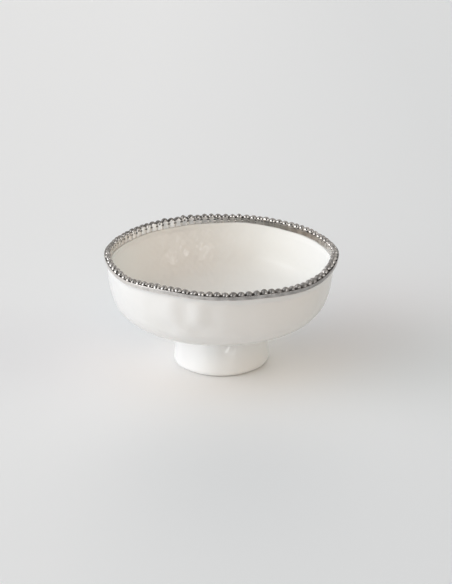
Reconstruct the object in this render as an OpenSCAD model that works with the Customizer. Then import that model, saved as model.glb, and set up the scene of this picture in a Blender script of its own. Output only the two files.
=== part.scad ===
// Footed ceramic bowl with a beaded metal rim. Millimetres, +Z up.
// The origin is the centre of the circle that the foot stands on.

/* [Overall] */
// Height from the table to the top of the beads
total_h = 125; // [110:1:160]
// Outer radius of the metal rim
rim_r = 125; // [110:0.5:145]

/* [Bowl] */
// How far the metal rim stands out past the widest place of the ceramic wall
rim_overhang = 4.5; // [3:0.25:7]
// Thickness of the ceramic wall and floor
wall_t = 5; // [4:0.5:7]
// How far the widest place of the wall lies below the top of the beads
wall_widest_drop = 19; // [14:1:28]
// Radius of the long arc that the upper wall follows
wall_arc_r = 85; // [70:1:100]
// Angle below level at which the wall arc meets the belly arc
wall_arc_end = 19; // [14:1:24]
// Radius of the tight arc of the belly
belly_arc_r = 39; // [32:1:44]
// Angle below level at which the belly arc meets the underside arc
belly_arc_end = 67; // [60:1:72]
// Radius of the shallow arc of the underside
under_arc_r = 170; // [140:5:220]

/* [Lip] */
// Height of the cone that widens the wall into the lip
lip_flare_h = 5; // [3:0.5:8]
// Straight height of the lip below the lower edge of the outer band
lip_skirt_h = 0.8; // [0.4:0.1:1.5]
// Bevel along the two top edges of the lip
lip_bevel = 0.8; // [0.3:0.1:1.2]

/* [Rim metal] */
// Radial width of the metal rim
rim_w = 9.8; // [8.6:0.1:11]
// Thickness of the bands and of the crest strip
metal_t = 0.8; // [0.5:0.1:1.2]
// Height of the outer band
outer_band_h = 4.1; // [3.2:0.1:6]
// Height of the inner band
inner_band_h = 4; // [3.2:0.1:6]
// How far the outer band stands above the crest strip
outer_band_rise = 1.5; // [0.4:0.1:2.2]
// How far the inner band stands above the crest strip
inner_band_rise = 0.5; // [0.2:0.1:1.5]
// Thickness of the bedding between metal and lip
cement_t = 0.4; // [0.2:0.1:0.8]

/* [Beads] */
// Smallest gap between one bead and the next
bead_gap = 0.4; // [0.2:0.1:2]
// Gap between a bead and the band on each side
bead_side_gap = 0.3; // [0.1:0.1:0.8]
// Height of a bead's centre above the crest strip
bead_centre_h = 1.1; // [0.5:0.1:2]

/* [Foot] */
// Largest outer radius of the foot, just above its resting edge
foot_r = 52; // [46:0.5:58]
// Angle by which the side of the foot leans in towards the bowl
foot_flare = 6.75; // [3:0.25:10]
// Thickness of the foot's wall
foot_t = 8.4; // [7.6:0.1:10]
// Radius of the round outer edge at the bottom
foot_edge_r = 6; // [4:0.5:6.5]
// Bevel along the inner edge at the bottom
foot_inner_bevel = 1.2; // [0.6:0.1:1.5]
// Radius of the hollow that the outer slip coil is smoothed to
outer_coil_r = 8; // [5:0.5:11]
// Radius of the hollow that the inner slip coil is smoothed to
inner_coil_r = 5; // [3:0.5:8]
// Thickness at which a slip coil ends against the bowl and the foot
coil_edge_t = 0.3; // [0.2:0.1:0.6]

/* [Hidden] */
$fn = 96;
// Facets of a bead where it is shown as a mesh
bead_fn = 44;
// Steps in each arc of a section
arc_steps = 14;

glaze_colour = [0.95, 0.94, 0.91];
slip_colour = [0.9, 0.88, 0.84];
metal_colour = [0.62, 0.61, 0.6];
cement_colour = [0.78, 0.76, 0.72];

// Rim radii, from the outside in
rim_in_r = rim_r - rim_w;
lip_out_r = rim_r - metal_t - cement_t;
lip_in_r = rim_in_r + metal_t + cement_t;
channel_out_r = rim_r - metal_t;
channel_in_r = rim_in_r + metal_t;
bead_row_r = (channel_out_r + channel_in_r) / 2;
bead_r = (channel_out_r - channel_in_r) / 2 - bead_side_gap;
bead_count = floor(2 * PI * bead_row_r / (2 * bead_r + bead_gap));

// Rim heights, from the top down
bead_centre_z = total_h - bead_r;
crest_z = bead_centre_z - bead_centre_h;
lip_top_z = crest_z - metal_t - cement_t;
outer_band_z = crest_z + outer_band_rise - outer_band_h;
inner_band_z = crest_z + inner_band_rise - inner_band_h;
lip_skirt_z = outer_band_z - lip_skirt_h;
flare_z = lip_skirt_z - lip_flare_h;
rebate_z = inner_band_z - cement_t;

// Centres of the three arcs of the outer wall, each tangent to the next
wall_r = rim_r - rim_overhang;
wall_c = [wall_r - wall_arc_r, total_h - wall_widest_drop];
belly_c = wall_c + (wall_arc_r - belly_arc_r) * ray(-wall_arc_end);
under_c = belly_c + (belly_arc_r - under_arc_r) * ray(-belly_arc_end);

// Side of the foot, as a line with an outward normal
foot_edge_c = [foot_r - foot_edge_r, foot_edge_r];
foot_out = ray(foot_flare);
foot_up = [-foot_out[1], foot_out[0]];
foot_side_p = foot_edge_c + foot_edge_r * foot_out;
foot_top_z = under_c[1] - under_arc_r + foot_edge_r;
foot_inner_p = foot_side_p - foot_t * foot_out;

// Unit vector at an angle above the radius axis
function ray(a) = [cos(a), sin(a)];

// Points along an arc from one angle to another, without its first point
function arc(c, r, from, to) =
    [for (i = [1 : arc_steps]) c + r * ray(from + (to - from) * i / arc_steps)];

// The bowl's surface from the axis up to height z, taken in by an inset
function wall_line(inset, z) =
    let (
        wall_in_r = wall_arc_r - inset,
        belly_in_r = belly_arc_r - inset,
        under_in_r = under_arc_r - inset,
        wall_arc_start = asin((z - wall_c[1]) / wall_in_r)
    )
    concat(
        [[0, under_c[1] - under_in_r], under_c - [0, under_in_r]],
        arc(under_c, under_in_r, -90, -belly_arc_end),
        arc(belly_c, belly_in_r, -belly_arc_end, -wall_arc_end),
        arc(wall_c, wall_in_r, -wall_arc_end, wall_arc_start)
    );

// A list in the opposite order
function reversed(list) = [for (i = [len(list) - 1 : -1 : 0]) list[i]];

// The point of the foot's sloping line through p that lies at height z
function up_to(p, z) = p + (z - p[1]) / foot_up[1] * foot_up;

// The point up the foot's slope from p that keeps a distance d from the bowl's underside,
// from its arc or, nearer the axis, from the flat inside the arc
function below_bowl(p, d) =
    let (
        q = p - under_c,
        b = q * foot_up,
        arc_p = p + (-b - sqrt(b * b - q * q + (under_arc_r + d) * (under_arc_r + d))) * foot_up
    )
    arc_p[0] > under_c[0] ? arc_p : up_to(p, under_c[1] - under_arc_r - d);

// Everything inside the bowl's outer surface, up to where the lip starts
module bowl_filled() {
    polygon(concat(wall_line(0, flare_z), [[0, flare_z]]));
}

// Half section of the ceramic bowl: outer surface, lip, rebate, inner surface
module bowl_section() {
    polygon(concat(
        wall_line(0, flare_z),
        [
            [lip_out_r, lip_skirt_z],
            [lip_out_r, lip_top_z - lip_bevel],
            [lip_out_r - lip_bevel, lip_top_z],
            [lip_in_r + lip_bevel, lip_top_z],
            [lip_in_r, lip_top_z - lip_bevel],
            [lip_in_r, rebate_z]
        ],
        reversed(wall_line(wall_t, rebate_z))
    ));
}

// Half section of the foot, cut to the bowl's underside
module foot_section() {
    difference() {
        polygon(concat(
            [
                up_to(foot_side_p, foot_top_z),
                up_to(foot_inner_p, foot_top_z),
                foot_inner_p,
                [foot_inner_p[0], foot_inner_bevel],
                [foot_inner_p[0] + foot_inner_bevel, 0],
                [foot_edge_c[0], 0]
            ],
            arc(foot_edge_c, foot_edge_r, -90, foot_flare)
        ));
        bowl_filled();
    }
}

// Half section of a coil of slip pressed into the corner between the foot and the bowl.
// p is a point on the foot's side, and side is 1 outside the foot and -1 inside it.
module coil_section(p, side, hollow_r) {
    edge_r = hollow_r + coil_edge_t;
    c = below_bowl(p + side * edge_r * foot_out, edge_r);
    above_c = [min(c[0], under_c[0]), under_c[1]] - c;
    to_foot = -side * foot_out;
    to_bowl = above_c / norm(above_c);
    foot_angle = side > 0 ? foot_flare + 180 : foot_flare;
    bowl_angle = atan2(to_bowl[1], to_bowl[0]);
    // The coil is drawn a little into both solids, and they are then cut out of it
    deep_r = edge_r + coil_edge_t;
    difference() {
        polygon(concat(
            [
                c + deep_r * to_bowl,
                c + deep_r * (to_foot + to_bowl),
                c + deep_r * to_foot,
                c + hollow_r * to_foot
            ],
            arc(c, hollow_r, foot_angle, bowl_angle)
        ));
        bowl_filled();
        foot_section();
    }
}

// Half section of a flat-sided metal strip: inner radius, lower edge, width, height
module strip_section(r, z, w, h) {
    translate([r, z]) square([w, h]);
}

module bowl_body() {
    color(glaze_colour) rotate_extrude() bowl_section();
}

module foot_ring() {
    color(glaze_colour) rotate_extrude() foot_section();
}

module foot_outer_coil() {
    color(slip_colour) rotate_extrude() coil_section(foot_side_p, 1, outer_coil_r);
}

module foot_inner_coil() {
    color(slip_colour) rotate_extrude() coil_section(foot_inner_p, -1, inner_coil_r);
}

module rim_outer_band() {
    color(metal_colour)
        rotate_extrude() strip_section(channel_out_r, outer_band_z, metal_t, outer_band_h);
}

module rim_inner_band() {
    color(metal_colour)
        rotate_extrude() strip_section(rim_in_r, inner_band_z, metal_t, inner_band_h);
}

module rim_crest_strip() {
    color(metal_colour)
        rotate_extrude()
            strip_section(channel_in_r, crest_z - metal_t, channel_out_r - channel_in_r, metal_t);
}

// A round bead with its underside cut flat, standing on the crest strip
module bead() {
    intersection() {
        translate([0, 0, bead_centre_h]) sphere(r = bead_r, $fn = bead_fn);
        translate([-bead_r, -bead_r, 0]) cube([bead_r + bead_r, bead_r + bead_r, bead_r + bead_r]);
    }
}

module rim_beads() {
    color(metal_colour)
        for (i = [0 : bead_count - 1])
            rotate([0, 0, i * 360 / bead_count]) translate([bead_row_r, 0, crest_z]) bead();
}

// The bedding fills the channel of the bands and the crest strip, round the lip
module rim_cement() {
    color(cement_colour) rotate_extrude() difference() {
        polygon([
            [channel_in_r, inner_band_z],
            [lip_in_r, inner_band_z],
            [lip_in_r, lip_top_z - lip_bevel],
            [lip_out_r, lip_top_z - lip_bevel],
            [lip_out_r, outer_band_z],
            [channel_out_r, outer_band_z],
            [channel_out_r, crest_z - metal_t],
            [channel_in_r, crest_z - metal_t]
        ]);
        bowl_section();
    }
}

bowl_body();
foot_ring();
foot_outer_coil();
foot_inner_coil();
rim_outer_band();
rim_inner_band();
rim_crest_strip();
rim_beads();
rim_cement();
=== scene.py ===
import math

import bpy
import numpy as np
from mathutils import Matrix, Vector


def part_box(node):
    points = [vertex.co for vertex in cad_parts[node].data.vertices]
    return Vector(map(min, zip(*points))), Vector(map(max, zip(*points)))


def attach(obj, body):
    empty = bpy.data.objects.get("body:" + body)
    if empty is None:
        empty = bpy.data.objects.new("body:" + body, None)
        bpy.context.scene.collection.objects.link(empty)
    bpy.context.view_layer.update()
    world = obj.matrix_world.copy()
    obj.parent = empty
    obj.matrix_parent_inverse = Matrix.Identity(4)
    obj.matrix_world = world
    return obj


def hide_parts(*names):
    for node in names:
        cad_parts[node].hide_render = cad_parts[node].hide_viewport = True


# Footed ceramic bowl with a beaded metal rim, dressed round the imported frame.
# Metres, +Z up. The camera looks along +Y, with +X to the right.
# Angles round the bowl are in degrees from +X: 90 is the back, 180 the left, 270 the front.

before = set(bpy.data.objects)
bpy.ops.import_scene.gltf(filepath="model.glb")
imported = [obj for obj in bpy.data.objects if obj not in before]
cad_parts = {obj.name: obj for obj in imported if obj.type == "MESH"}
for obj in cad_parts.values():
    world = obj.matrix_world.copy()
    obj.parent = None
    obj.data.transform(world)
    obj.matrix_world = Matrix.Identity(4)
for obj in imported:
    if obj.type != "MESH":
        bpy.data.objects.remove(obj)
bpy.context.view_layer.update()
mm = 0.001

# Places read from the frame
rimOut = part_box("rim_outer_band")[1].x
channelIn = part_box("rim_inner_band")[1].x
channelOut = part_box("rim_crest_strip")[1].x
bandLow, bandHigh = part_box("rim_outer_band")[0].z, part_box("rim_outer_band")[1].z
innerLow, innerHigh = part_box("rim_inner_band")[0].z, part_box("rim_inner_band")[1].z
crestLow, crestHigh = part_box("rim_crest_strip")[0].z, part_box("rim_crest_strip")[1].z
lipHigh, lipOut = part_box("bowl_body")[1].z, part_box("bowl_body")[1].x
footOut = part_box("foot_ring")[1].x
beadRow = (channelIn + channelOut) / 2
metalThick = rimOut - channelOut


# Tools for curves and surfaces

# Points of an arc: centre + radius * (cos a, sin a), where a goes evenly between two angles
def arcPoints(centre, radius, fromAngle, toAngle, count):
    angle = np.radians(np.linspace(fromAngle, toAngle, count))
    return np.asarray(centre) + radius * np.stack([np.cos(angle), np.sin(angle)], -1)


# Points of a straight line, ends included: (1 - t) * start + t * end
def linePoints(start, end, count):
    share = np.linspace(0, 1, count)[:, None]
    return (1 - share) * np.asarray(start) + share * np.asarray(end)


# Lines joined end to end, with the double point at each joint left out
def joinLines(*lines):
    return np.vstack([lines[0]] + [line[1:] for line in lines[1:]])


# 0 below low, 1 above high and 3t^2 - 2t^3 between them
def smoothStep(value, low, high):
    share = np.clip((value - low) / (high - low), 0, 1)
    return share * share * (3 - 2 * share)


# A bell round the circle: exp(-(turn / width)^2 / 2), with the turn from centre in degrees
def bell(degrees, centre, width):
    turn = (degrees - centre + 180) % 360 - 180
    return np.exp(-0.5 * (turn / width) ** 2)


# Degrees of evenly spaced columns once round
def evenTurn(columns):
    return np.linspace(0, 360, columns, endpoint=False)


# The degrees at which the points of a grid stand
def columnsOf(grid):
    return np.degrees(np.arctan2(grid[..., 1], grid[..., 0])) % 360


# The unit vector (cos a, sin a)
def unitAt(degrees):
    return np.array([math.cos(math.radians(degrees)), math.sin(math.radians(degrees))])


# A section turned round the axis: point [row, column] = (r cos a, r sin a, z)
def turnSection(section, degrees):
    angle = np.radians(degrees)
    r, z = section[:, :1], section[:, 1:]
    return np.stack([r * np.cos(angle), r * np.sin(angle), z + 0 * angle], -1)


# One mesh from grids of points [copy, row, column, xyz]. Columns wrap round. Rows wrap into
# a ring, or end in poles, where the first and the last row each become one point
def makeMesh(name, grids, material, ring=False, layers=None):
    copies, rows, columns = grids.shape[:3]
    number = np.arange(copies * rows * columns).reshape(copies, rows, columns)
    if not ring:
        number[:, 0, :] = number[:, 0, :1]
        number[:, -1, :] = number[:, -1, :1]
    used, number = np.unique(number.ravel(), return_inverse=True)
    number = number.reshape(copies, rows, columns)
    right = np.roll(number, -1, axis=2)
    above = np.roll(number, -1, axis=1)
    aboveRight = np.roll(right, -1, axis=1)
    faces = np.stack([number, right, aboveRight, above], -1)
    if ring:
        faceList = faces.reshape(-1, 4).tolist()
    else:
        faces = faces[:, :-1]
        firstFan = faces[:, 0][..., [0, 2, 3]].reshape(-1, 3)
        lastFan = faces[:, -1][..., [0, 1, 2]].reshape(-1, 3)
        quads = faces[:, 1:-1].reshape(-1, 4)
        faceList = quads.tolist() + firstFan.tolist() + lastFan.tolist()
    mesh = bpy.data.meshes.new(name)
    mesh.from_pydata(grids.reshape(-1, 3)[used].tolist(), [], faceList)
    for layer, values in (layers or {}).items():
        attribute = mesh.attributes.new(layer, "FLOAT", "POINT")
        attribute.data.foreach_set("value", values.reshape(-1)[used].astype(np.float32))
    mesh.shade_smooth()
    mesh.materials.append(material)
    piece = bpy.data.objects.new(name, mesh)
    bpy.context.scene.collection.objects.link(piece)
    return piece


# Puts a finished piece on the frame: hangs it on the root body and hides the nodes it stands for
def dress(piece, slot, *nodes):
    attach(piece, "root")
    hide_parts(*nodes)
    print("piece", piece.name, len(piece.data.polygons), "faces")


# The hand forming: waves of the rim and dents of the wall and foot, shared by every piece

handForm = {
    # where the rim rides up or sags: angle, mm upwards, width in degrees
    "rimWaves": [
        (354, 3.4, 11), (30, 0.5, 9), (70, 0.9, 9), (106, 1.0, 10), (135, 1.3, 10),
        (158, 0.6, 7), (185, 3.4, 12), (218, -0.8, 6), (245, 1.9, 11), (314, -2.7, 12)],
    # how much lower or higher the metal's inner edge lies: mm all round, then at places
    "innerDrop": -0.9,
    "innerDrops": [(80, 1.3, 8), (135, -1.7, 32), (0, -0.4, 60)],
    # how much further out the rim's inner side stands: mm all round, then at places
    "rimNarrow": 0.9,
    "narrowWaves": [(190, 1.3, 30)],
    "bodyShift": -1.1 * mm,    # the wall stands this far to the left of the rim and foot
    # flutes and dents: angle, mm outwards, width in degrees, height and half height in mm
    "wallDents": [
        (253, -1.3, 3.2, 102, 17), (259.5, 1.15, 3.1, 102, 20), (266, -0.85, 3.1, 102, 18),
        (277, -0.9, 7, 98, 20), (289, -1.9, 12, 98, 26), (245, 0.9, 4.0, 92, 20),
        (236, -0.9, 4.5, 96, 22), (243, -1.7, 3.5, 79, 7), (259, -2.1, 4.0, 80, 6),
        (268, -0.4, 3.5, 89, 6), (254, 1.2, 3.0, 78, 7), (118, -1.5, 4, 80, 6),
        (109, 1.2, 3.5, 84, 6), (101, -1.5, 4, 79, 6), (94, 1.1, 4, 87, 6),
        (113, 1.3, 4.5, 103, 7), (122, -1.4, 4.5, 96, 6), (86, -1.0, 4, 78, 7)],
    "footDents": [
        (224, -1.6, 10, 18, 16), (250, 0.5, 7, 18, 16), (268, 1.4, 13, 18, 16),
        (273, -0.3, 5, 18, 12), (290, 0.9, 9, 22, 16), (280, -2.6, 7, 36, 6.5),
        (215, 2.0, 24, 0, 3)],
    # more dents at random places of the wall, from the right side over the back to the left
    "spreadSeed": 7,
    "spreadCount": 34,
    "spreadAngles": (285, 585),
    "spreadDepths": (-0.5, 0.5),
    "spreadWidths": (3, 8),
    "spreadHeights": (60, 105),
    "spreadHalves": (10, 24),
    # fine ripples of the wall: waves round the bowl and radians for each mm of height
    "ripples": [(61, 0.62), (83, -0.75), (97, 0.35)],
    "rippleDepth": 0.035,
    "roughStretch": (108, 20, 11.0),   # where they are deeper inside: angle, width, times
    # heights, or distances from the axis, between which each of these sets in or ends
    "waveHeights": (88 * mm, 114 * mm),
    "dropHeights": (104 * mm, 115 * mm),
    "dropEnds": (117.4 * mm, 121 * mm),
    "innerSideEnds": (116.6 * mm, 118.4 * mm),
    "rimBegins": (100 * mm, 108 * mm),
    "narrowHeights": (92 * mm, 113 * mm),
    "narrowEnds": (117 * mm, 121.5 * mm),
    "wallBegins": (60 * mm, 95 * mm),
    "wallEnds": (108 * mm, 115 * mm),
    "footBegins": (30 * mm, 45 * mm),
    "footEnds": (34 * mm, 44 * mm),
}


# All the dents of the wall: those listed, then the random ones
def wallDents():
    pick = np.random.default_rng(handForm["spreadSeed"])
    keys = ("spreadAngles", "spreadDepths", "spreadWidths", "spreadHeights", "spreadHalves")
    rows = [pick.uniform(*handForm[key], handForm["spreadCount"]) for key in keys]
    rows[0] = rows[0] % 360
    return handForm["wallDents"] + list(np.stack(rows, -1))


allWallDents = wallDents()


# Waves round the rim in metres: the sum of height * bell(angle)
def waveHeight(degrees, waves):
    return sum(height * mm * bell(degrees, centre, width) for centre, height, width in waves)


# Sum of depth * bell(angle) * exp(-((z - height) / half)^2 / 2), in metres outwards
def dentDepth(degrees, z, dents):
    return sum(
        depth * mm * bell(degrees, centre, width) * np.exp(-0.5 * ((z / mm - height) / half) ** 2)
        for centre, depth, width, height, half in dents)


# Fine ripples in metres: the mean of sin(n a + k z), deeper in one stretch of the inside
def rippleDepth(degrees, z, inside):
    centre, width, times = handForm["roughStretch"]
    waves = sum(np.sin(n * np.radians(degrees) + k * z / mm + n) for n, k in handForm["ripples"])
    depth = handForm["rippleDepth"] * mm * (1 + times * bell(degrees, centre, width) * inside)
    return depth * waves / len(handForm["ripples"])


# The share from 0 to 1 by which a hand form has set in, and by which it hasn't ended yet
def setIn(value, key):
    return smoothStep(value, *handForm[key])


def notEnded(value, key):
    return 1 - setIn(value, key)


# Moves points as the hands did: the rim rises and falls and is narrowed inside, the wall
# shifts, the wall and the foot are dented. Inside is 1 at points of the bowl's inner surface
def formByHand(points, inside=0):
    x, y, z = points[..., 0], points[..., 1], points[..., 2]
    r = np.hypot(x, y)
    degrees = columnsOf(points)
    lift = waveHeight(degrees, handForm["rimWaves"]) * setIn(z, "waveHeights")
    innerSide = notEnded(r, "innerSideEnds") * setIn(r, "rimBegins")
    drop = handForm["innerDrop"] * mm + waveHeight(degrees, handForm["innerDrops"])
    lift = lift + drop * innerSide * setIn(z, "dropHeights") * notEnded(z, "dropEnds")
    narrow = handForm["rimNarrow"] * mm + waveHeight(degrees, handForm["narrowWaves"])
    narrow = narrow * setIn(z, "narrowHeights") * notEnded(r, "narrowEnds")
    onWall = setIn(r, "wallBegins") * notEnded(z, "wallEnds")
    onFoot = notEnded(z, "footEnds")
    push = onWall * (dentDepth(degrees, z, allWallDents) + rippleDepth(degrees, z, inside))
    push = push + onFoot * setIn(r, "footBegins") * dentDepth(degrees, z, handForm["footDents"])
    push = push + narrow * setIn(r, "rimBegins")
    scale = 1 + push / np.maximum(r, mm)
    return np.stack([x * scale + handForm["bodyShift"] * onWall, y * scale, z + lift], -1)


# Materials

noiseSpread = (0.3, 0.7)     # a noise texture lies nearly always between these


# A small builder of shader nodes: kind, then socket values or links by name
def addNode(tree, kind, values=None, **settings):
    node = tree.nodes.new(kind)
    for key, value in settings.items():
        setattr(node, key, value)
    for key, value in (values or {}).items():
        if isinstance(value, bpy.types.NodeSocket):
            tree.links.new(value, node.inputs[key])
        else:
            node.inputs[key].default_value = value
    return node


# One step of arithmetic on up to three numbers
def addMath(tree, operation, *values, **settings):
    node = addNode(tree, "ShaderNodeMath", dict(enumerate(values)), operation=operation, **settings)
    return node.outputs[0]


# A value of the piece's own points
def pointValue(tree, name):
    return addNode(tree, "ShaderNodeAttribute", attribute_name=name).outputs["Fac"]


# Noise on the piece's own coordinates, brought from 0..1 to low..high
def noiseBetween(tree, scale, low, high, detail=3.0):
    place = addNode(tree, "ShaderNodeTexCoord").outputs["Object"]
    noise = addNode(tree, "ShaderNodeTexNoise", {"Vector": place, "Scale": scale, "Detail": detail})
    return addNode(tree, "ShaderNodeMapRange", {
        "Value": noise.outputs["Fac"], "From Min": noiseSpread[0], "From Max": noiseSpread[1],
        "To Min": low, "To Max": high}).outputs[0]


# One colour laid over another by a factor
def mixColours(tree, factor, first, second):
    mix = addNode(tree, "ShaderNodeMix", data_type="RGBA")
    sockets = (mix.inputs[0], mix.inputs[6], mix.inputs[7])
    for socket, value in zip(sockets, (factor, first, second)):
        if isinstance(value, bpy.types.NodeSocket):
            tree.links.new(value, socket)
        else:
            socket.default_value = value
    return mix.outputs[2]


# 1 inside low..high of a value and 0 outside, with soft edges of a given width
def softBand(tree, value, low, high, edge):
    up = addNode(tree, "ShaderNodeMapRange", {
        "Value": value, "From Min": low - edge, "From Max": low + edge})
    down = addNode(tree, "ShaderNodeMapRange", {
        "Value": value, "From Min": high - edge, "From Max": high + edge,
        "To Min": 1.0, "To Max": 0.0})
    return addMath(tree, "MULTIPLY", up.outputs[0], down.outputs[0])


# An empty material with its nodes, and its last node
def newMaterial(name):
    material = bpy.data.materials.new(name)
    material.use_nodes = True
    material.node_tree.nodes.clear()
    return material, material.node_tree


def closeMaterial(tree, shader):
    addNode(tree, "ShaderNodeOutputMaterial", {"Surface": shader.outputs[0]})


glazeLook = {
    "white": (0.895, 0.885, 0.865, 1),
    "cream": (0.885, 0.868, 0.835, 1),      # where the glaze lies thick
    "creamScale": 14.0,
    "creamShares": (0.0, 0.55),
    "outside": (0.824, 0.804, 0.774, 1),    # painted shade: the outer wall's glaze is made darker and warmer than the rest
    "inside": (0.95, 0.92, 0.865, 1),       # painted light: a little lighter and creamier inside the bowl
    "insideLightShare": 0.5,                     # how far this painted light is mixed in there
    "stainAndShade": (0.62, 0.55, 0.52, 1),        # thin stain of the metal's edge on the glaze, with painted shade under the band's edge
    "fringeHeights": (-0.9 * mm, 0.4 * mm),  # from the outer band's lower edge
    "fringeEdge": 0.35 * mm,
    "fringeScale": 160.0,
    "fringeShares": (0.1, 0.75),
    "roughness": (0.20, 0.26),
    "roughScale": 30.0,
    "shiny": 0.08,                          # roughness of its glossiest places
    "ior": 1.5,
    "bumpScale": 70.0,
    "bumpStrength": 0.6,
    "bumpHeight": 0.20 * mm,
}


# Warm white, with creamy patches and a faint uneven skin; painted shade darkens the outer wall and
# the foot's lit left side and painted light brightens the inside; stained and darkened with painted
# shade along the band's edge
def glazeMaterial():
    material, tree = newMaterial("warmWhiteGlaze")
    thick = noiseBetween(tree, glazeLook["creamScale"], *glazeLook["creamShares"], detail=2.0)
    colour = mixColours(tree, thick, glazeLook["white"], glazeLook["cream"])
    # painted shade on the outer wall and the foot's lit side, painted light inside the bowl
    colour = mixColours(tree, pointValue(tree, "outside"), colour, glazeLook["outside"])
    colour = mixColours(tree, pointValue(tree, "inside"), colour, glazeLook["inside"])
    # a stain of the metal with painted shade in a thin line under the outer band's lower edge
    low, high = (bandLow + height for height in glazeLook["fringeHeights"])
    under = softBand(tree, pointValue(tree, "restHeight"), low, high, glazeLook["fringeEdge"])
    patches = noiseBetween(tree, glazeLook["fringeScale"], *glazeLook["fringeShares"])
    under = addMath(tree, "MULTIPLY", under, patches)
    colour = mixColours(tree, under, colour, glazeLook["stainAndShade"])
    skin = noiseBetween(tree, glazeLook["bumpScale"], 0.0, 1.0, detail=1.0)
    bump = addNode(tree, "ShaderNodeBump", {
        "Strength": glazeLook["bumpStrength"], "Distance": glazeLook["bumpHeight"],
        "Height": skin})
    satin = noiseBetween(tree, glazeLook["roughScale"], *glazeLook["roughness"])
    roughness = addNode(tree, "ShaderNodeMix", {
        0: pointValue(tree, "shiny"), 2: satin, 3: glazeLook["shiny"]}, data_type="FLOAT")
    shader = addNode(tree, "ShaderNodeBsdfPrincipled", {
        "Base Color": colour, "Roughness": roughness.outputs[0],
        "IOR": glazeLook["ior"], "Normal": bump.outputs[0]})
    closeMaterial(tree, shader)
    return material


metalLook = {
    "silver": (0.90, 0.865, 0.83, 1),
    "dull": (0.36, 0.34, 0.325, 1),         # where the plating is worn, and where darker reflections and shade are painted
    "spotScale": 120.0,
    "spots": (-0.25, 0.25),                 # how unevenly it is worn
    "paintedShade": (0.07, 0.065, 0.06, 1),        # painted shade in the grooves, on the crest strip and at the beads' feet
    "roughness": (0.07, 0.20),
    "roughScale": 90.0,
    "satin": 0.27,                          # rougher by this where the plating is satin
    "bumpScale": 260.0,
    "bumpStrength": 0.5,
    "bumpHeight": 0.10 * mm,
}


# Silver plating, dull in spots where it is worn and where its dull share paints shade and darker
# reflections, with painted shade in the grooves, on the crest strip and at the beads' feet
def metalMaterial():
    material, tree = newMaterial("rimPlating")
    spots = noiseBetween(tree, metalLook["spotScale"], *metalLook["spots"], detail=4.0)
    # the dull share is partly real wear and partly painted shade and reflection
    wearAndShade = addMath(tree, "ADD", pointValue(tree, "wearAndShade"), spots, use_clamp=True)
    colour = mixColours(tree, wearAndShade, metalLook["silver"], metalLook["dull"])
    # painted shade in the grooves, on the crest strip and at the beads' feet
    colour = mixColours(tree, pointValue(tree, "shadeShare"), colour, metalLook["paintedShade"])
    skin = noiseBetween(tree, metalLook["bumpScale"], 0.0, 1.0, detail=2.0)
    bump = addNode(tree, "ShaderNodeBump", {
        "Strength": metalLook["bumpStrength"], "Distance": metalLook["bumpHeight"],
        "Height": skin})
    rough = noiseBetween(tree, metalLook["roughScale"], *metalLook["roughness"])
    rough = addMath(tree, "MULTIPLY_ADD", pointValue(tree, "satin"), metalLook["satin"], rough)
    shader = addNode(tree, "ShaderNodeBsdfPrincipled", {
        "Base Color": colour, "Metallic": 1.0, "Roughness": rough, "Normal": bump.outputs[0]})
    closeMaterial(tree, shader)
    return material


cementLook = {
    "dark": (0.62, 0.60, 0.56, 1),
    "light": (0.74, 0.72, 0.68, 1),
    "grainScale": 400.0,
    "roughness": 0.9,
}


# Grainy grey between two tones
def cementMaterial():
    material, tree = newMaterial("beddingCement")
    grain = noiseBetween(tree, cementLook["grainScale"], 0.0, 1.0)
    colour = mixColours(tree, grain, cementLook["dark"], cementLook["light"])
    shader = addNode(tree, "ShaderNodeBsdfPrincipled", {
        "Base Color": colour, "Roughness": cementLook["roughness"]})
    closeMaterial(tree, shader)
    return material


glaze = glazeMaterial()
plating = metalMaterial()
cement = cementMaterial()
print("stage: materials made")


# Ceramic bowl

bowlShape = {
    "wallThick": 5.0 * mm,
    "wallRadius": 120.5 * mm,      # largest outer radius
    "widestHeight": 106.0 * mm,
    "wallArc": 85.0 * mm,
    "wallArcEnd": 19,              # degrees below level
    "bellyArc": 39.0 * mm,
    "bellyArcEnd": 67,
    "underArc": 170.0 * mm,
    "flareHeight": 8.0 * mm,
    "flareHollow": 3.0,            # power of the curve by which it runs out under the band
    "lipSkirt": 0.8 * mm,
    "lipBevel": 0.8 * mm,
    "bedding": 0.4 * mm,           # cement between the inner band and the lip
    "outsideRows": (10, 30, 40, 24),
    "flareRows": 16,
    "shelfRows": 4,
    "insideRows": (10, 30, 44, 34),
    "columns": 400,
    "shinyInside": 0.85,           # how far the rough stretch of the inside is at its glossiest
}
wallCentre = np.array([bowlShape["wallRadius"] - bowlShape["wallArc"], bowlShape["widestHeight"]])
bellyCentre = (wallCentre + (bowlShape["wallArc"] - bowlShape["bellyArc"])
               * unitAt(-bowlShape["wallArcEnd"]))
underCentre = (bellyCentre + (bowlShape["bellyArc"] - bowlShape["underArc"])
               * unitAt(-bowlShape["bellyArcEnd"]))


# One surface of the wall from the axis up to a height: flat middle, then the arcs of the
# underside, the belly and the wall
def wallLine(inset, top, rows):
    underR, bellyR, wallR = (bowlShape[key] - inset for key in ("underArc", "bellyArc", "wallArc"))
    start = underCentre - [0, underR]
    last = math.degrees(math.asin((top - wallCentre[1]) / wallR))
    wallEnd, bellyEnd = bowlShape["wallArcEnd"], bowlShape["bellyArcEnd"]
    return joinLines(
        linePoints([0, start[1]], start, rows[0]),
        arcPoints(underCentre, underR, -90, -bellyEnd, rows[1]),
        arcPoints(bellyCentre, bellyR, -bellyEnd, -wallEnd, rows[2]),
        arcPoints(wallCentre, wallR, -wallEnd, last, rows[3]))


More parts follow.
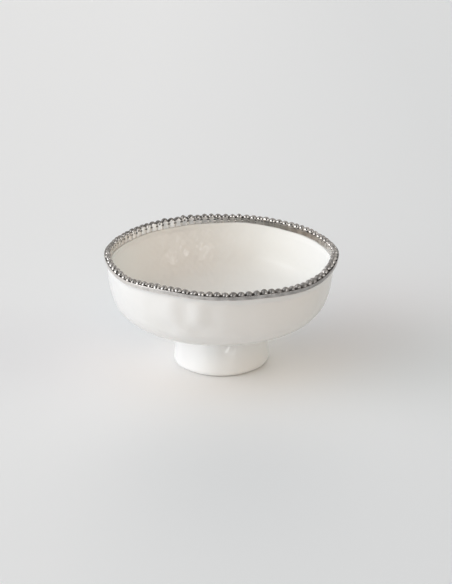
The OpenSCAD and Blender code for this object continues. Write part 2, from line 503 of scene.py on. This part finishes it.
# From the axis along the outside to the flare, (t^power, t), then over the lip and its shelf
# and down the inside to the axis again
def bowlSection():
    skirt = bandLow - bowlShape["lipSkirt"]
    lipIn = channelIn + bowlShape["bedding"]
    shelf = innerLow - bowlShape["bedding"]
    bevel = bowlShape["lipBevel"]
    outside = wallLine(0, skirt - bowlShape["flareHeight"], bowlShape["outsideRows"])
    inside = wallLine(bowlShape["wallThick"], shelf, bowlShape["insideRows"])[::-1]
    lip = np.array([
        [lipOut, skirt], [lipOut, lipHigh - bevel], [lipOut - bevel, lipHigh],
        [lipIn + bevel, lipHigh], [lipIn, lipHigh - bevel], [lipIn, shelf]])
    share = np.linspace(0, 1, bowlShape["flareRows"])[:, None]
    flareWay = np.hstack([share ** bowlShape["flareHollow"], share])
    flare = outside[-1] + (lip[0] - outside[-1]) * flareWay
    return joinLines(outside, flare, lip, linePoints(lip[-1], inside[0], bowlShape["shelfRows"]),
                     inside)


bowlTurn = evenTurn(bowlShape["columns"])
bowlGrid = turnSection(bowlSection(), bowlTurn)
bowlHeight = bowlGrid[..., 2]
# 1 on the rows of the outer wall, which come first, and 0 from the lip's top inwards
onOutside = (np.arange(len(bowlGrid)) < bowlHeight.argmax(0)[0])[:, None] + 0 * bowlHeight
onInside = 1 - onOutside
shinyStretch = bowlShape["shinyInside"] * onInside * bell(bowlTurn, *handForm["roughStretch"][:2])
# the outside and inside layers carry the painted shade of the outer wall and the painted light
# inside
bowl = makeMesh("ceramicBowl", formByHand(bowlGrid, onInside)[None], glaze, layers={
    "restHeight": bowlHeight, "outside": onOutside,
    "inside": glazeLook["insideLightShare"] * onInside, "shiny": shinyStretch})
dress(bowl, "glaze", "bowl_body")


# Foot and the slip pressed into its corners

footShape = {
    "flare": 6.75,               # degrees that the side leans in
    "thick": 8.4 * mm,
    "edgeRound": 6.0 * mm,
    "innerBevel": 1.2 * mm,
    "outerSeat": 46 * mm,        # distances from the axis where its sides meet the underside
    "innerSeat": 39 * mm,
    "sunkIn": 0.6 * mm,          # how far its top runs into the bowl's underside
    # rows of its round edge, side, top and inner side, and of each short face below
    "rows": (16, 26, 4, 14, 3),
    "columns": 240,
    "shinySpot": (281, 8),       # where its glaze is at its glossiest: angle, width
    "shinyHeights": (24 * mm, 30 * mm),
    "litSideShade": 0.4,            # painted shade: how far its glaze takes the outer wall's darker colour at one place, its lit left side
    "litSidePlace": (212, 22),
}
edgeCentre = np.array([footOut - footShape["edgeRound"], footShape["edgeRound"]])
sideOut = unitAt(footShape["flare"])
sideUp = np.array([-sideOut[1], sideOut[0]])
sideStart = edgeCentre + footShape["edgeRound"] * sideOut
innerStart = sideStart - footShape["thick"] * sideOut


# The point at a height on the line through a start, with the slope of the foot's side
def upSlope(start, height):
    return start + (height - start[1]) / sideUp[1] * sideUp


# Height of the bowl's underside at a radius
def underHeight(r):
    return underCentre[1] - math.sqrt(bowlShape["underArc"] ** 2 - max(r - underCentre[0], 0) ** 2)


# Round edge, outer side, top, inner side, bevel and resting face
def footSection():
    outTop = upSlope(sideStart, underHeight(footShape["outerSeat"]) + footShape["sunkIn"])
    inTop = upSlope(innerStart, underHeight(footShape["innerSeat"]) + footShape["sunkIn"])
    bevelTop = [innerStart[0], footShape["innerBevel"]]
    bevelEnd = [innerStart[0] + footShape["innerBevel"], 0]
    edgeRows, sideRows, topRows, innerRows, shortRows = footShape["rows"]
    return joinLines(
        arcPoints(edgeCentre, footShape["edgeRound"], -90, footShape["flare"], edgeRows),
        linePoints(sideStart, outTop, sideRows), linePoints(outTop, inTop, topRows),
        linePoints(inTop, innerStart, innerRows), linePoints(innerStart, bevelTop, shortRows),
        linePoints(bevelTop, bevelEnd, shortRows),
        linePoints(bevelEnd, [edgeCentre[0], 0], shortRows))[:-1]


footTurn = evenTurn(footShape["columns"])
footGrid = turnSection(footSection(), footTurn)
footHeight = footGrid[..., 2]
shinySpot = bell(footTurn, *footShape["shinySpot"])
shinySpot = shinySpot * smoothStep(footHeight, *footShape["shinyHeights"])
litSideShade = footShape["litSideShade"] * bell(footTurn, *footShape["litSidePlace"]) + 0 * footHeight
# the outside layer carries painted shade on the foot's lit left side
foot = makeMesh("footRing", formByHand(footGrid)[None], glaze, ring=True, layers={
    "restHeight": footHeight, "shiny": shinySpot, "outside": litSideShade})
dress(foot, "glaze", "foot_ring")


slipShape = {
    "outerHollow": 8.3 * mm,     # radius of each fillet
    "innerHollow": 5.3 * mm,
    "proud": 0.05 * mm,          # how far its face stands out
    "over": 1.5,                 # degrees that it runs on over foot and bowl
    "sunk": 0.8 * mm,            # how deep its back lies in them
    "corner": 0.95,              # where its back's corner lies, as a share
    "rows": 24,
}


# A fillet of slip: an arc whose centre keeps the hollow's radius from the foot's side and
# from the underside's arc, so |centre - underCentre| = underArc + hollow. Three points sunk
# into foot and bowl close it. Side is 1 outside the foot and -1 inside
def slipSection(start, side, hollow):
    onLine = start + side * hollow * sideOut
    offset = onLine - underCentre
    reach = bowlShape["underArc"] + hollow
    along = float(offset @ sideUp)
    down = -along - math.sqrt(along * along - float(offset @ offset) + reach * reach)
    centre = onLine + down * sideUp
    toFoot = -side * sideOut
    toBowl = (underCentre - centre) / np.linalg.norm(underCentre - centre)
    footAngle = math.degrees(math.atan2(toFoot[1], toFoot[0]))
    bowlAngle = math.degrees(math.atan2(toBowl[1], toBowl[0]))
    if side > 0 and footAngle < 0:
        footAngle += 360
    over = slipShape["over"] * side
    arc = arcPoints(centre, hollow - slipShape["proud"], bowlAngle - over, footAngle + over,
                    slipShape["rows"])
    sunk = hollow + slipShape["sunk"]
    back = np.array([centre + sunk * toFoot,
                     centre + sunk * (toFoot + toBowl) * slipShape["corner"],
                     centre + sunk * toBowl])
    section = np.vstack([arc, back])
    return section if side > 0 else section[::-1]


# One fillet of slip turned round the axis
def slipPiece(name, node, start, side, hollow):
    grid = turnSection(slipSection(start, side, hollow), footTurn)
    piece = makeMesh(name, formByHand(grid)[None], glaze, ring=True,
                     layers={"restHeight": grid[..., 2]})
    dress(piece, "glaze", node)


slipPiece("slipOutside", "foot_outer_coil", sideStart, 1, slipShape["outerHollow"])
slipPiece("slipInside", "foot_inner_coil", innerStart, -1, slipShape["innerHollow"])
print("stage: ceramic made")


# Rim bedding, crest strip and bands

rimShape = {
    "beads": 94,
    "perBead": 12,               # columns of the bands for each bead
    "plainPerBead": 4,           # columns of the crest strip and the bedding for each bead
    "edgeRound": 0.3 * mm,
    "crestRound": 0.15 * mm,
    "cornerRows": 5,
    "sideRows": 4,               # of top and bottom faces, and of the crest strip's sides
    "outerRows": 12,
    "innerRows": 16,
    "faceDepth": 0.1 * mm,       # what counts as a band's face
    "outerBulge": 0.18 * mm,     # the outer band's belly
    "outerRipple": 0.07 * mm,    # its ripple under each bead
    "rippleReach": (0.1, 0.8),   # shares of its height between which the ripple sets in
    "edgeWander": 0.22 * mm,     # how unevenly the bands' lower edges run
    "wanderReach": (0.0, 0.5),
    "wanderSeeds": (3, 5),       # of the outer and of the inner band
    "lobeDepth": 0.4 * mm,       # the inner band's lobes under the beads
    "lobeReach": (-0.2, 0.15),
    "grooveBack": 0.8 * mm,      # how far the grooves between them stand back
    "tuck": 2.0 * mm,            # how far the inner band rises in front of the beads
    "wornTuck": 0.3 * mm,        # the same where its lobes are worn flat
    "scallop": 1.6 * mm,         # how much lower its top is between two beads
    "scallopReach": (0.4, 1.0),
    "lean": 0.5 * mm,            # how far its top leans out
    "lobesGone": (42, 26),       # where the inner band's lobes are worn flat: angle, width
    # painted shade in the grooves between the inner band's lobes and over the whole crest strip
    # between the beads
    "grooveShade": 0.85,
    "grooveReach": (0.76, 0.98), # shares of half a bead between which its painted shade sets in
    "crestGrime": 0.9,
    # how far the plating is dulled: in general, then at some places: angle, amount, width; partly
    # real wear, partly painted shade and painted reflection set by place round the rim
    "wearShadeOuter": (0.45, [(215, -0.47, 24), (315, 0.5, 40)]),
    "wearShadeInner": (0.40, [(135, -0.25, 20), (50, 0.55, 30)]),
    "wearShadeBeads": (0.40, [(130, 0.45, 30), (55, -0.2, 32), (300, 0.4, 32), (218, -0.3, 14)]),
    # the same for the painted shade at the beads' feet and for how satin the beads are
    "beadFootShade": (0.9, [(305, -0.4, 36)]),
    "satinBeads": (0.15, [(304, 0.85, 42)]),
}
plainTurn = evenTurn(rimShape["beads"] * rimShape["plainPerBead"])


# A box section with round corners: four quarter arcs joined, outer side going up
def roundBox(inR, outR, low, high, corner, uprightRows):
    corners = [(outR - corner, low + corner, -90), (outR - corner, high - corner, 0),
               (inR + corner, high - corner, 90), (inR + corner, low + corner, 180)]
    arcs = [arcPoints([r, z], corner, turn, turn + 90, rimShape["cornerRows"])
            for r, z, turn in corners]
    rows = (uprightRows, rimShape["sideRows"]) * 2
    sides = [linePoints(arcs[k][-1], arcs[(k + 1) % 4][0], rows[k])[1:-1] for k in range(4)]
    return np.vstack([part for pair in zip(arcs, sides) for part in pair])


# Slow uneven waves round the circle: a few cosines with random phases, about -1 to 1
def unevenLine(degrees, seed, waves=(5, 9, 14, 23, 37), gain=1.6):
    pick = np.random.default_rng(seed)
    phase = pick.uniform(0, 2 * math.pi, len(waves))
    total = sum(np.cos(np.radians(degrees) * n + p) for n, p in zip(waves, phase))
    return total / len(waves) * gain


# Columns that crowd towards the grooves between beads: a bead's share of the circle times
# sin u, with u from -90 to 90
def grooveTurn():
    across = np.sin(np.radians(np.linspace(-90, 90, rimShape["perBead"], endpoint=False)))
    beads = np.arange(rimShape["beads"])[:, None]
    return ((beads + across / 2) * 360 / rimShape["beads"]).ravel()


# Place across a bead: 0 at its middle, -1 and 1 between two
def beadPhase(degrees):
    return (degrees * rimShape["beads"] / 360 % 1 + 0.5) % 1 * 2 - 1


# Low ribs over the beads: 1 - p^2
def ribHeight(degrees):
    return 1 - beadPhase(degrees) ** 2


# How far a finish is dulled (partly wear, partly painted shade and reflection), darkened with
# painted shade at the beads' feet, or satin: its general share plus bells round the circle
def finishShare(degrees, key):
    share, places = rimShape[key]
    bells = sum(amount * bell(degrees, centre, width) for centre, amount, width in places)
    return np.clip(share + bells, 0, 1)


# Moves ring points outwards and upwards by given amounts
def moveRing(grid, outwards, upwards):
    r = np.hypot(grid[..., 0], grid[..., 1])
    scale = 1 + outwards / r
    return np.stack([grid[..., 0] * scale, grid[..., 1] * scale, grid[..., 2] + upwards], -1)


# The uneven run of a band's lower edge, gone at half its height
def lowerEdge(degrees, seed, share):
    wander = rimShape["edgeWander"] * unevenLine(degrees, seed)
    return wander * (1 - smoothStep(share, *rimShape["wanderReach"]))


# The outer face has a belly, 1 - (2t - 1)^2 of the height's share t, and ripples under the beads
def outerBand():
    section = roundBox(channelOut, rimOut, bandLow, bandHigh, rimShape["edgeRound"],
                       rimShape["outerRows"])
    grid = turnSection(section, grooveTurn())
    degrees = columnsOf(grid)
    r = np.hypot(grid[..., 0], grid[..., 1])
    share = np.clip((grid[..., 2] - bandLow) / (bandHigh - bandLow), 0, 1)
    outer = smoothStep(r, (channelOut + rimOut) / 2, rimOut - rimShape["faceDepth"])
    bulge = rimShape["outerBulge"] * (1 - (2 * share - 1) ** 2) - rimShape["outerBulge"]
    ripple = rimShape["outerRipple"] * ribHeight(degrees)
    ripple = ripple * smoothStep(share, *rimShape["rippleReach"])
    wander = lowerEdge(degrees, rimShape["wanderSeeds"][0], share)
    grid = moveRing(grid, outer * (bulge + ripple), wander)
    # dull share: wear with painted shade, lighter at the front left and darker at the right
    return makeMesh("outerBand", formByHand(grid)[None], plating, ring=True,
                    layers={"wearAndShade": finishShare(degrees, "wearShadeOuter")})


# The lobes, 1 - p^2 across each bead, swell just above the band's lower edge and lean out a
# little to meet the beads' inner sides. Between two beads the top is lower, by |p|^3
def innerBand():
    rimIn, high = channelIn - metalThick, innerHigh + rimShape["tuck"]
    section = roundBox(rimIn, channelIn, innerLow, high, rimShape["edgeRound"],
                       rimShape["innerRows"])
    grid = turnSection(section, grooveTurn())
    degrees = columnsOf(grid)
    r = np.hypot(grid[..., 0], grid[..., 1])
    share = np.clip((grid[..., 2] - innerLow) / (high - innerLow), 0, 1)
    between = np.abs(beadPhase(degrees))
    inner = 1 - smoothStep(r, rimIn + rimShape["faceDepth"], channelIn)
    swell = smoothStep(share, *rimShape["lobeReach"])
    left = 1 - bell(degrees, *rimShape["lobesGone"])
    lobes = rimShape["lobeDepth"] * (1 - (1 - ribHeight(degrees)) * left) * swell
    lobes = rimShape["grooveBack"] - lobes
    outer = rimShape["grooveBack"] * (1 - inner)
    scallop = rimShape["scallop"] * between ** 3 * smoothStep(share, *rimShape["scallopReach"])
    scallop = scallop * left + (rimShape["tuck"] - rimShape["wornTuck"]) * (1 - left) * share
    wander = lowerEdge(degrees, rimShape["wanderSeeds"][1], share)
    grid = moveRing(grid, rimShape["lean"] * share + inner * lobes + outer, wander - scallop)
    # painted shade in the grooves between the lobes
    shadeShare = rimShape["grooveShade"] * smoothStep(between, *rimShape["grooveReach"])
    # dull share: wear with painted reflection, lighter at the back left and darker at the back
    # right
    return makeMesh("innerBand", formByHand(grid)[None], plating, ring=True, layers={
        "shadeShare": shadeShare * inner * left, "wearAndShade": finishShare(degrees, "wearShadeInner")})


# A flat strip over the lip, between the two bands
def crestStrip():
    section = roundBox(channelIn, channelOut, crestLow, crestHigh, rimShape["crestRound"],
                       rimShape["sideRows"])
    grid = turnSection(section, plainTurn)
    # the whole strip gets painted shade, for the gaps between the beads
    return makeMesh("crestStrip", formByHand(grid)[None], plating, ring=True,
                    layers={"shadeShare": rimShape["crestGrime"] + 0 * grid[..., 2]})


# The bedding fills the channel between the metal and the lip: a hoop with two short legs
def rimBedding():
    legIn = channelIn + bowlShape["bedding"]
    legs = np.array([
        [lipOut, bandLow], [channelOut, bandLow], [channelOut, crestLow], [channelIn, crestLow],
        [channelIn, innerLow], [legIn, innerLow], [legIn, lipHigh], [lipOut, lipHigh]])
    grid = turnSection(legs, plainTurn)
    return makeMesh("rimBedding", formByHand(grid)[None], cement, ring=True)


dress(outerBand(), "rim_metal", "rim_outer_band")
dress(innerBand(), "rim_metal", "rim_inner_band")
dress(crestStrip(), "rim_metal", "rim_crest_strip")
dress(rimBedding(), "cement", "rim_cement")


# Beads

beadShape = {
    # half length along the rim, measured at the bead's top, outer side and inner side
    "halfLengths": (3.7 * mm, 3.8 * mm, 4.2 * mm),
    "halfWidth": 4.0 * mm,       # across the rim
    "halfHeight": 4.35 * mm,
    "rise": 0.5 * mm,            # middle above the crest strip
    "sunk": 0.1 * mm,            # how far its flat underside lies in the strip
    "section": (2.0, 2.8),       # power of its section, outer and inner side: 2 is round
    "sideReach": (0.0, 0.9),     # cosines round its section where a side's form begins and is full
    "unevenness": 0.08,          # share by which sizes differ
    "lumps": 0.15,               # depth of its own low bumps, as a share
    "lumpWaves": 4,
    "lumpTurns": 1.6,            # how fast the bumps follow each other, in radians
    "lumpPhases": (0, 6.28),
    "lean": 12,                  # degrees that a bead may turn or tip
    "shift": 0.15 * mm,          # how far it may stand in, out, up or down
    "aside": 0.03,               # how far it may stand aside, as a share of the pitch
    "footShadeHeights": (0.4 * mm, 1.7 * mm),   # between these the painted shade round its foot ends
    "rows": 21,
    "columns": 32,
    "seed": 21,
}


# A unit ball on a grid, with its poles at the ends along the rim, so that rows of points run
# round the section, and the angles round that section: 0 outwards, 90 up, 180 inwards
def unitBall():
    up = np.linspace(-0.5, 0.5, beadShape["rows"])[:, None] * math.pi
    around = np.linspace(0, 2 * math.pi, beadShape["columns"], endpoint=False)[None, :]
    x, y, z = np.cos(up) * np.cos(around), np.sin(up) + 0 * around, np.cos(up) * np.sin(around)
    return np.stack([x, y, z], -1), around


# One even bead, a little longer across the rim than along it: with x outwards, y along the
# rim and z up, (|x|^p + |z|^p)^(2/p) + (y / length)^2 = 1, where p and length change from
# the outer side over the top to the inner side
def evenBead():
    ball, around = unitBall()
    out = smoothStep(np.cos(around), *beadShape["sideReach"])
    inwards = smoothStep(-np.cos(around), *beadShape["sideReach"])
    outerPower, innerPower = beadShape["section"]
    p = outerPower + (innerPower - outerPower) * inwards
    top, outer, inner = beadShape["halfLengths"]
    length = top + (outer - top) * out + (inner - top) * inwards
    section = (np.abs(np.cos(around)) ** p + np.abs(np.sin(around)) ** p) ** (-1 / p)
    return np.stack([ball[..., 0] * section * beadShape["halfWidth"], ball[..., 1] * length,
                     ball[..., 2] * section * beadShape["halfHeight"]], -1)


# All the beads, each with a few waves of its own, turned and tipped a little, cut flat
# underneath and set in its place round the rim
def beadRowPiece():
    pick = np.random.default_rng(beadShape["seed"])
    count, lumpWaves = rimShape["beads"], beadShape["lumpWaves"]
    ways = pick.normal(0, beadShape["lumpTurns"], (count, lumpWaves, 3))
    phases = pick.uniform(*beadShape["lumpPhases"], (count, lumpWaves, 1, 1))
    bumps = np.sin(np.einsum("bkj,rcj->bkrc", ways, unitBall()[0]) + phases).mean(1)
    sizes = 1 + beadShape["unevenness"] * pick.uniform(-1, 1, (count, 3))
    beads = evenBead()[None] * (1 + beadShape["lumps"] * bumps)[..., None]
    beads = beads * sizes[:, None, None, :]
    yaw, roll = np.radians(beadShape["lean"]) * pick.uniform(-1, 1, (2, count, 1, 1))
    x, y, z = beads[..., 0], beads[..., 1], beads[..., 2]
    x, y = x * np.cos(yaw) - y * np.sin(yaw), x * np.sin(yaw) + y * np.cos(yaw)
    y, z = y * np.cos(roll) - z * np.sin(roll), y * np.sin(roll) + z * np.cos(roll)
    z = z + beadShape["rise"] + beadShape["shift"] * pick.uniform(-1, 1, (count, 1, 1))
    z = np.maximum(z, -beadShape["sunk"])
    x = x + beadShape["shift"] * pick.uniform(-1, 1, (count, 1, 1))
    place = np.arange(count) + beadShape["aside"] * pick.uniform(-1, 1, count)
    turn = place[:, None, None] / count * 2 * math.pi
    r = beadRow + x
    points = np.stack([r * np.cos(turn) - y * np.sin(turn), r * np.sin(turn) + y * np.cos(turn),
                       crestHigh + z], -1)
    degrees = np.degrees(turn) + 0 * z
    # painted shade round each bead's foot, where it meets the crest strip
    foot = 1 - smoothStep(z, *beadShape["footShadeHeights"])
    # dull share: wear with painted shade and reflection set by place round the rim
    layers = {"wearAndShade": finishShare(degrees, "wearShadeBeads"),
              "satin": finishShare(degrees, "satinBeads"),
              "shadeShare": finishShare(degrees, "beadFootShade") * foot}
    # rows are turned over so that faces point outwards
    layers = {layer: values[:, ::-1] for layer, values in layers.items()}
    return makeMesh("rimBeads", formByHand(points)[:, ::-1], plating, layers=layers)


dress(beadRowPiece(), "rim_metal", "rim_beads")
print("stage: rim made")


# Floor, light and camera

stageLook = {
    # the floor's darker right side is painted shade
    "floorLeft": (0.894, 0.884, 0.872, 1),
    "floorRight": (0.812, 0.81, 0.803, 1),
    "floorFade": (-0.15, 0.35),     # metres to the right where one runs into the other
    "floorHalf": 20.0,
    "floorRough": 0.7,
    "floorShine": 0.2,
    # soft lights of the room for matt surfaces: degrees round the bowl and above level,
    # sharpness, colour
    "soft": [
        (188, 25, 10, (2.25, 2.3, 2.3)),        # the window
        (180, 8, 12, (1.92, 1.58, 1.86)),
        (222, 18, 8, (1.2, 1.7, 1.85)),         # its glow on the camera's side
        (92, 2, 12, (5.1, 4.8, 4.6)),           # the wall behind the bowl
        (-4, 24, 12, (1.72, 1.78, 1.62)),       # the wall at the right
        (271, 40, 12, (1.1, 0.5, 0.06)),        # warm light from over the camera
        (271, 10, 10, (0.37, 0.28, 0.33)),
        (90, 88, 4, (0.38, 0.5, 0.62))],        # the ceiling
    # what mirrors see beside the grey room
    "mirrored": [
        (190, 5, 8, (0.6, 0.6, 0.6)),           # the glow round the window
        (188, 40, 12, (0.45, 0.45, 0.45)),
        (0, 5, 5, (0.3, 0.29, 0.27)),           # the pale side and back walls
        (350, 38, 12, (0.45, 0.44, 0.42)),
        (90, 0, 30, (0.45, 0.45, 0.45)),
        (95, 35, 5, (0.34, 0.33, 0.32)),
        (315, 15, 6, (0.16, 0.155, 0.15)),
        (292, 14, 300, (8.0, 8.0, 8.0)),        # three small lamps
        (304, 17, 300, (6.0, 6.0, 6.0)),
        (320, 14, 300, (8.0, 8.0, 8.0))],
    "windowWay": (199, 8),          # degrees round the bowl and above level
    "windowHalf": (0.42, 0.26),     # half width and half height at a distance of 1
    "windowEdge": 0.05,
    "window": (2.5, 2.5, 2.5),
    "zenith": (0.20, 0.195, 0.19, 1),
    "lowRoom": (0.06, 0.06, 0.06, 1),
    "zenithHeights": (0.1, 0.85),   # how high a way rises where the low room runs into it
    "cameraSide": (0.012, 0.012, 0.012, 1),
    "cameraWay": (252, 20),
    "cameraReach": (0.75, 0.92),    # cosines of the turn from it where its dark begins and is full
    "background": (0.70, 0.70, 0.70, 1),
}
leastDepth = 0.05                   # keeps the window's division away from zero


# A wide plain floor that is a little darker towards the right, as painted shade of the light
# falling off away from the window
def makeFloor():
    half = stageLook["floorHalf"]
    corners = [(-half, -half, 0), (half, -half, 0), (half, half, 0), (-half, half, 0)]
    mesh = bpy.data.meshes.new("floor")
    mesh.from_pydata(corners, [], [(0, 1, 2, 3)])
    material, tree = newMaterial("paleFloor")
    place = addNode(tree, "ShaderNodeTexCoord").outputs["Object"]
    sideways = addNode(tree, "ShaderNodeSeparateXYZ", {0: place}).outputs["X"]
    start, end = stageLook["floorFade"]
    fade = addNode(tree, "ShaderNodeMapRange", {
        "Value": sideways, "From Min": start, "From Max": end})
    colour = mixColours(tree, fade.outputs[0], stageLook["floorLeft"], stageLook["floorRight"])
    shader = addNode(tree, "ShaderNodeBsdfPrincipled", {
        "Base Color": colour, "Roughness": stageLook["floorRough"],
        "Specular IOR Level": stageLook["floorShine"]})
    closeMaterial(tree, shader)
    mesh.materials.append(material)
    floor = bpy.data.objects.new("floor", mesh)
    bpy.context.scene.collection.objects.link(floor)


# The unit vector of a way given by degrees round the bowl and above level
def wayOf(turn, rise):
    turn, rise = math.radians(turn), math.radians(rise)
    level = math.cos(rise)
    return (level * math.cos(turn), level * math.sin(turn), math.sin(rise))


# The cosine of the turn between two ways
def dotWays(tree, direction, way):
    values = {0: direction, 1: way}
    return addNode(tree, "ShaderNodeVectorMath", values, operation="DOT_PRODUCT").outputs["Value"]


# A colour with a light added: colour + strength * share
def addLight(tree, colour, strength, share):
    light = addNode(tree, "ShaderNodeVectorMath", {0: strength, "Scale": share}, operation="SCALE")
    values = {0: colour, 1: light.outputs[0]}
    return addNode(tree, "ShaderNodeVectorMath", values, operation="ADD").outputs[0]


# The sum of soft lights: strength * exp(sharpness * (d . l - 1)), where d is the way looked
# and l is the light's
def softLights(tree, direction, colour, lights):
    for turn, rise, sharpness, strength in lights:
        near = dotWays(tree, direction, wayOf(turn, rise))
        fall = addMath(tree, "MULTIPLY_ADD", near, sharpness, -sharpness)
        colour = addLight(tree, colour, strength, addMath(tree, "EXPONENT", fall))
    return colour


# Adds the window: a rectangle across its way, where (d . side) / (d . way) and
# (d . up) / (d . way) are small
def windowLight(tree, direction, colour):
    turn, rise = stageLook["windowWay"]
    ways = (wayOf(turn, rise), wayOf(turn + 90, 0), wayOf(turn + 180, 90 - rise))
    depth, side, up = (dotWays(tree, direction, way) for way in ways)
    depth = addMath(tree, "MAXIMUM", depth, leastDepth)
    share = 1.0
    for value, half in zip((side, up), stageLook["windowHalf"]):
        across = addMath(tree, "DIVIDE", value, depth)
        band = softBand(tree, across, -half, half, stageLook["windowEdge"])
        share = addMath(tree, "MULTIPLY", share, band)
    return addLight(tree, colour, stageLook["window"], share)


# The share from 0 to 1 of a value between two ends, as 3t^2 - 2t^3
def smoothShare(tree, value, low, high):
    return addNode(tree, "ShaderNodeMapRange", {
        "Value": value, "From Min": low, "From Max": high},
        interpolation_type="SMOOTHSTEP").outputs[0]


# The room: soft lights for matt surfaces; for mirrors a grey ceiling, a dark low room, a
# nearly black side behind the camera, the window and its glow; for the camera a pale wall
def makeRoom():
    world = bpy.data.worlds.new("room")
    bpy.context.scene.world = world
    world.use_nodes = True
    tree = world.node_tree
    tree.nodes.clear()
    direction = addNode(tree, "ShaderNodeTexCoord").outputs["Generated"]
    height = addNode(tree, "ShaderNodeSeparateXYZ", {0: direction}).outputs["Z"]
    high = smoothShare(tree, height, *stageLook["zenithHeights"])
    mirrored = mixColours(tree, high, stageLook["lowRoom"], stageLook["zenith"])
    front = dotWays(tree, direction, wayOf(*stageLook["cameraWay"]))
    dark = smoothShare(tree, front, *stageLook["cameraReach"])
    mirrored = mixColours(tree, dark, mirrored, stageLook["cameraSide"])
    mirrored = softLights(tree, direction, mirrored, stageLook["mirrored"])
    mirrored = windowLight(tree, direction, mirrored)
    soft = softLights(tree, direction, (0, 0, 0), stageLook["soft"])
    path = addNode(tree, "ShaderNodeLightPath")
    colour = mixColours(tree, path.outputs["Is Glossy Ray"], soft, mirrored)
    colour = mixColours(tree, path.outputs["Is Camera Ray"], colour, stageLook["background"])
    back = addNode(tree, "ShaderNodeBackground", {"Color": colour, "Strength": 1.0})
    addNode(tree, "ShaderNodeOutputWorld", {"Surface": back.outputs[0]})


cameraLook = {
    "sideways": 4.73 * mm,       # the camera stands a little right of the axis
    "aimHeight": 79.6 * mm,
    "distance": 1.680,
    "elevation": 21.63,          # degrees of the camera's place above the aim
    "tilt": 21.70,               # degrees that it looks down
    "lens": 96.12,
    "sensor": 36.0,              # on the picture's height
    "sight": (0.05, 100),        # nearest and furthest that it sees, in metres
}


# A long lens that looks down on the bowl from the front
def makeCamera():
    lens = bpy.data.cameras.new("camera")
    lens.lens = cameraLook["lens"]
    lens.sensor_fit = "VERTICAL"
    lens.sensor_height = cameraLook["sensor"]
    lens.clip_start, lens.clip_end = cameraLook["sight"]
    camera = bpy.data.objects.new("camera", lens)
    rise, reach = math.radians(cameraLook["elevation"]), cameraLook["distance"]
    camera.location = (cameraLook["sideways"], -reach * math.cos(rise),
                       cameraLook["aimHeight"] + reach * math.sin(rise))
    camera.rotation_euler = (math.radians(90 - cameraLook["tilt"]), 0, 0)
    bpy.context.scene.collection.objects.link(camera)
    bpy.context.scene.camera = camera


makeFloor()
makeRoom()
makeCamera()
bpy.context.scene.view_settings.view_transform = "Standard"
print("stage: floor, light and camera made")
